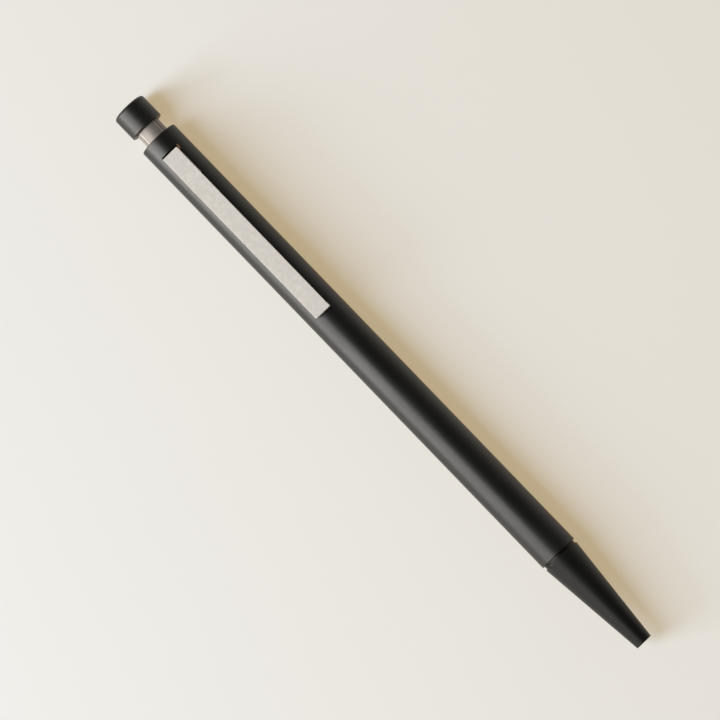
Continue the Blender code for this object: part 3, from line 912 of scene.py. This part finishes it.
class PEN_OT_refill(Operator):
    """Turn the refill: plug, tube, neck, tip and ball"""

    bl_idname = "pen.refill"
    bl_label = "Refill"

    def execute(self, context):
        colours = context.scene.pen_colours
        steel = turned_metal("refill_steel", colours.steel, 0.26, 6.0)
        brass = turned_metal("refill_brass", colours.brass, 0.3)
        self.make_plug(brass)
        self.make_tube(steel)
        self.make_neck(brass)
        self.make_tip(turned_metal("tip_steel", colours.steel, 0.2, 16.0))
        return {"FINISHED"}

    def make_plug(self, finish):
        low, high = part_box("refill_plug")
        outer = outer_radius("refill_plug")
        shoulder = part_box("refill_tube")[0].x - FIT
        inside = outer - TUBE_WALL - FIT
        plug = turn(
            "refill_plug_turned",
            [
                (low.x, 0.0),
                (low.x, outer, 0.25 * MM),
                (shoulder, outer, 0.04 * MM),
                (shoulder, inside),
                (high.x, inside, 0.15 * MM),
                (high.x, 0.0),
            ],
            INNER_SIDES,
        )
        hand_over(plug, "refill_plug", finish)

    def make_tube(self, finish):
        low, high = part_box("refill_tube")
        outer = outer_radius("refill_tube")
        inside = outer - TUBE_WALL
        hole_depth = 0.6 * MM
        hole = outer_radius("refill_neck") + FIT
        tube = turn(
            "ink_tube",
            [
                (low.x, inside),
                (low.x, outer, 0.04 * MM),
                (high.x, outer, 0.2 * MM),
                (high.x, hole, 0.05 * MM),
                (high.x - hole_depth, hole),
                (high.x - hole_depth, inside),
            ],
            INNER_SIDES,
        )
        hand_over(tube, "refill_tube", finish)

    def make_neck(self, finish):
        low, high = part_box("refill_neck")
        outer = outer_radius("refill_neck")
        front = outer - 0.65 * MM
        seat = TIP_SHANK_RADIUS + FIT
        channel = 0.6 * MM
        seat_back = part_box("tip_socket")[0].x - FIT
        neck = turn(
            "refill_neck_turned",
            [
                (low.x, channel),
                (low.x, outer, 0.1 * MM),
                (high.x - 7.8 * MM, outer, 0.4 * MM),
                (high.x - 5.2 * MM, front, 0.4 * MM),
                (high.x, front, 0.1 * MM),
                (high.x, seat),
                (seat_back, seat),
                (seat_back, channel),
            ],
            INNER_SIDES,
        )
        hand_over(neck, "refill_neck", finish)

    def make_tip(self, finish):
        low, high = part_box("tip_socket")
        ball_low, ball_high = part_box("writing_ball")
        ball = (ball_low + ball_high) / 2
        ball_radius = (ball_high.z - ball_low.z) / 2
        outer = outer_radius("tip_socket")
        channel = ball_radius / 2
        cup = ball_radius + 0.04 * MM
        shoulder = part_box("refill_neck")[1].x + FIT
        socket = turn(
            "tip_socket_turned",
            [
                (low.x, channel),
                (low.x, TIP_SHANK_RADIUS, 0.05 * MM),
                (shoulder, TIP_SHANK_RADIUS),
                (shoulder, outer, 0.05 * MM),
                (high.x - 2.0 * MM, outer, 0.3 * MM),
                (high.x, ball_radius + 0.12 * MM, 0.03 * MM),
                (high.x, ball_radius - 0.04 * MM),
                (ball.x, cup),
                (ball.x - 0.42 * MM, cup),
                (ball.x - 0.74 * MM, channel),
            ],
            INNER_SIDES,
        )
        hand_over(socket, "tip_socket", finish)
        clear_selection()
        bpy.ops.mesh.primitive_uv_sphere_add(segments=48, ring_count=24, radius=ball_radius)
        bpy.ops.object.mode_set(mode="EDIT")
        bpy.ops.transform.rotate(
            value=math.pi / 2, orient_axis="Y", center_override=(0, 0, 0)
        )
        bpy.ops.transform.translate(value=ball)
        sphere = finish_editing("ball")
        hand_over(sphere, "writing_ball", turned_metal("ball_carbide", CARBIDE, 0.12))


class PEN_OT_spring(Operator):
    """Wind the return spring and turn the washer in front of it"""

    bl_idname = "pen.spring"
    bl_label = "Return spring"

    def execute(self, context):
        self.make_washer(context.scene.pen_colours.steel)
        self.make_spring()
        return {"FINISHED"}

    def make_washer(self, colour):
        low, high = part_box("spring_washer")
        outer = outer_radius("spring_washer")
        inner = outer_radius("refill_neck") + 0.15 * MM
        washer = turn(
            "washer",
            [
                (low.x, inner, 0.04 * MM),
                (low.x, outer, 0.06 * MM),
                (high.x, outer, 0.06 * MM),
                (high.x, inner, 0.04 * MM),
            ],
            INNER_SIDES,
        )
        hand_over(washer, "spring_washer", turned_metal("washer_steel", colour, 0.28))

    def make_spring(self):
        low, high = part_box("return_spring")
        wire = 0.22 * MM
        closed = 2 * wire + 0.03 * MM
        active = high.x - low.x - 2 * closed - 2 * wire
        mean = outer_radius("return_spring") - wire
        start = low.x + wire
        coils = []
        for turns, advance in ((1, closed), (7, active), (1, closed)):
            coils.append(self.wind(turns, advance, start, mean, wire))
            start += advance
        clear_selection()
        for coil in coils:
            coil.select_set(True)
        bpy.context.view_layer.objects.active = coils[0]
        bpy.ops.object.join()
        bpy.ops.object.mode_set(mode="EDIT")
        bpy.ops.mesh.select_all(action="SELECT")
        bpy.ops.mesh.remove_doubles(threshold=HAIR)
        bpy.ops.mesh.select_all(action="DESELECT")
        bpy.ops.mesh.select_non_manifold()
        bpy.ops.mesh.edge_face_add()
        bpy.ops.mesh.select_all(action="SELECT")
        bpy.ops.mesh.normals_make_consistent(inside=False)
        spring = finish_editing("spring")
        hand_over(spring, "return_spring", drawn_wire("spring_wire", SPRING_STEEL))
        stroke = next(j for j in frame["joints"] if j["name"] == "refill_advance")["range_m"][1]
        free = high.x - low.x
        (free - stroke) / free
        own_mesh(spring)

    def wind(self, turns, advance, start, mean, wire):
        """One stretch of the spring: a ring of wire carried round the axis and along it."""
        clear_selection()
        bpy.ops.mesh.primitive_circle_add(
            vertices=12, radius=wire, location=(start, 0, mean), rotation=(math.pi / 2, 0, 0)
        )
        bpy.ops.object.transform_apply(location=True, rotation=True, scale=True)
        coil = bpy.context.object
        winding = coil.modifiers.new("winding", "SCREW")
        winding.axis = "X"
        winding.angle = math.tau * turns
        winding.screw_offset = advance
        winding.steps = winding.render_steps = 40 * turns
        winding.use_smooth_shade = True
        bpy.ops.object.modifier_apply(modifier=winding.name)
        bpy.ops.object.mode_set(mode="EDIT")
        bpy.ops.mesh.select_all(action="SELECT")
        bpy.ops.transform.translate(value=(0, 0, AXIS_HEIGHT))
        bpy.ops.object.mode_set(mode="OBJECT")
        return coil


class PEN_OT_bow_spring(Operator):
    """Bend the small leaf that pushes the clip's tail up"""

    bl_idname = "pen.bow_spring"
    bl_label = "Bow spring"

    def execute(self, context):
        low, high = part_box("clip_spring")
        spread = math.asin((high.x - low.x) / 2 / LEAF_RADIUS)
        centre = Vector(((low.x + high.x) / 2, low.y, high.z - LEAF_RADIUS))
        half_steps = 3 * ARC_STEPS
        outline = []
        for radius, way in ((LEAF_RADIUS, 1), (LEAF_RADIUS - LEAF_THICKNESS, -1)):
            for step in range(-half_steps, half_steps + 1):
                angle = way * spread * step / half_steps
                outline.append(centre + Vector((math.sin(angle), 0, math.cos(angle))) * radius)
        leaf = thicken("bow_spring", outline, high.y - low.y)
        hand_over(leaf, "clip_spring", drawn_wire("leaf_steel", SPRING_STEEL))
        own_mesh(leaf)
        return {"FINISHED"}


class PEN_OT_inner_parts(Operator):
    """Finish the pieces of the mechanism, which keep the frame's own shapes"""

    bl_idname = "pen.inner_parts"
    bl_label = "Mechanism"

    def execute(self, context):
        steel = context.scene.pen_colours.steel
        white = moulded("white_acetal", WHITE_ACETAL)
        grey = moulded("grey_acetal", GREY_ACETAL)
        for node in ("cam_plunger", "cam_sleeve"):
            dress(node, white)
        for node in ("cam_rotor", "rear_bush"):
            dress(node, grey)
        dress("clip_carrier", moulded("black_acetal", BLACK_ACETAL))
        dress("clip_pin", turned_metal("pin_steel", steel, 0.24))
        # Painted shade: the push rod is made near-black so that the slot's gap behind the clip looks dark.
        dress("push_rod", turned_metal("blackened_steel", ROD_PAINTED_SHADE, 0.4))
        return {"FINISHED"}


# ---------------------------------------------------------------- stage


class PEN_OT_stage(Operator):
    """Lay the floor and set the lights and the camera"""

    bl_idname = "pen.stage"
    bl_label = "Stage"

    def execute(self, context):
        stage = context.scene.pen_stage
        context.scene.view_settings.view_transform = "Standard"
        self.lay_floor()
        self.light_room(stage)
        self.hang_light("key_light", stage.key_tilt, KEY_SIZE, stage.key_power, KEY_TINT)
        self.hang_light("low_light", LOW_TILT, LOW_SIZE, stage.low_power, LOW_TINT)
        self.set_camera(stage)
        return {"FINISHED"}

    def lay_floor(self):
        clear_selection()
        bpy.ops.mesh.primitive_plane_add(size=FLOOR_SIZE, location=(0, 0, CAD_BOUNDS[0].z))
        bpy.ops.object.transform_apply(location=True, rotation=True, scale=True)
        floor = bpy.context.object
        floor.name = "floor"
        floor.data.materials.append(pale_floor("floor_paint"))

    def light_room(self, stage):
        """A room that is dim overhead and warm and bright low down."""
        world = bpy.data.worlds.new("room")
        bpy.context.scene.world = world
        world.use_nodes = True
        nodes, links = world.node_tree.nodes, world.node_tree.links
        place = nodes.new("ShaderNodeTexCoord")
        height = nodes.new("ShaderNodeSeparateXYZ")
        ramp = nodes.new("ShaderNodeValToRGB")
        ramp.color_ramp.elements[0].position = 0.0
        ramp.color_ramp.elements[0].color = HORIZON
        ramp.color_ramp.elements[1].position = CEILING_STARTS
        ramp.color_ramp.elements[1].color = CEILING
        background = nodes["Background"]
        links.new(place.outputs["Generated"], height.inputs[0])
        links.new(height.outputs["Z"], ramp.inputs[0])
        links.new(ramp.outputs["Color"], background.inputs["Color"])
        background.inputs["Strength"].default_value = stage.fill

    def hang_light(self, name, tilt, size, power, tint):
        """A soft rectangular light aimed at the pen, with its width along the pen."""
        away = Vector((
            math.cos(LIGHT_BEARING) * math.sin(tilt),
            math.sin(LIGHT_BEARING) * math.sin(tilt),
            math.cos(tilt),
        ))
        clear_selection()
        bpy.ops.object.light_add(type="AREA", location=away * LIGHT_DISTANCE)
        light = bpy.context.object
        light.name = name
        light.rotation_mode = "QUATERNION"
        light.rotation_quaternion = away.to_track_quat("Z", "Y")
        light.data.shape = "RECTANGLE"
        light.data.size, light.data.size_y = size
        light.data.energy = power
        light.data.color = tint

    def set_camera(self, stage):
        x, y = math.sin(stage.lean_to_tip), math.sin(stage.lean_across)
        back = Vector((x, y, math.sqrt(1.0 - x * x - y * y)))
        upward = Vector((-math.sin(stage.roll), math.cos(stage.roll), 0.0))
        upward = (upward - back * upward.dot(back)).normalized()
        right = upward.cross(back)
        clear_selection()
        bpy.ops.object.camera_add()
        camera = bpy.context.object
        camera.name = "camera"
        camera.rotation_mode = "QUATERNION"
        camera.rotation_quaternion = Matrix((right, upward, back)).transposed().to_quaternion()
        camera.location = Vector(stage.aim) + back * stage.distance
        camera.data.lens = stage.lens
        camera.data.clip_start = 0.01
        bpy.context.scene.camera = camera


class PEN_PT_panel(Panel):
    """The pen's pieces and settings"""

    bl_label = "Ballpoint pen"
    bl_idname = "PEN_PT_panel"
    bl_space_type = "VIEW_3D"
    bl_region_type = "UI"
    bl_category = "Pen"

    def draw(self, context):
        layout = self.layout
        scene = context.scene
        for group in (scene.pen_shape, scene.pen_colours, scene.pen_stage):
            column = layout.column()
            for name in group.__annotations__:
                column.prop(group, name)
        column = layout.column()
        for operator in OPERATORS:
            column.operator(operator.bl_idname)


OPERATORS = (
    PEN_OT_barrel,
    PEN_OT_button,
    PEN_OT_clip,
    PEN_OT_nose,
    PEN_OT_refill,
    PEN_OT_spring,
    PEN_OT_bow_spring,
    PEN_OT_inner_parts,
    PEN_OT_stage,
)
CLASSES = (PenShape, PenColours, PenStage, *OPERATORS, PEN_PT_panel)


def register():
    """Register the classes and hang the settings on the scene."""
    for each in CLASSES:
        bpy.utils.register_class(each)
    bpy.types.Scene.pen_shape = PointerProperty(type=PenShape)
    bpy.types.Scene.pen_colours = PointerProperty(type=PenColours)
    bpy.types.Scene.pen_stage = PointerProperty(type=PenStage)


def unregister():
    """Take everything back off."""
    del bpy.types.Scene.pen_stage
    del bpy.types.Scene.pen_colours
    del bpy.types.Scene.pen_shape
    for each in reversed(CLASSES):
        bpy.utils.unregister_class(each)


def main():
    """Build every piece in turn, then the stage."""
    register()
    bpy.ops.pen.barrel()
    bpy.ops.pen.button()
    bpy.ops.pen.clip()
    bpy.ops.pen.nose()
    bpy.ops.pen.refill()
    bpy.ops.pen.spring()
    bpy.ops.pen.bow_spring()
    bpy.ops.pen.inner_parts()
    bpy.ops.pen.stage()


if __name__ == "__main__":
    main()
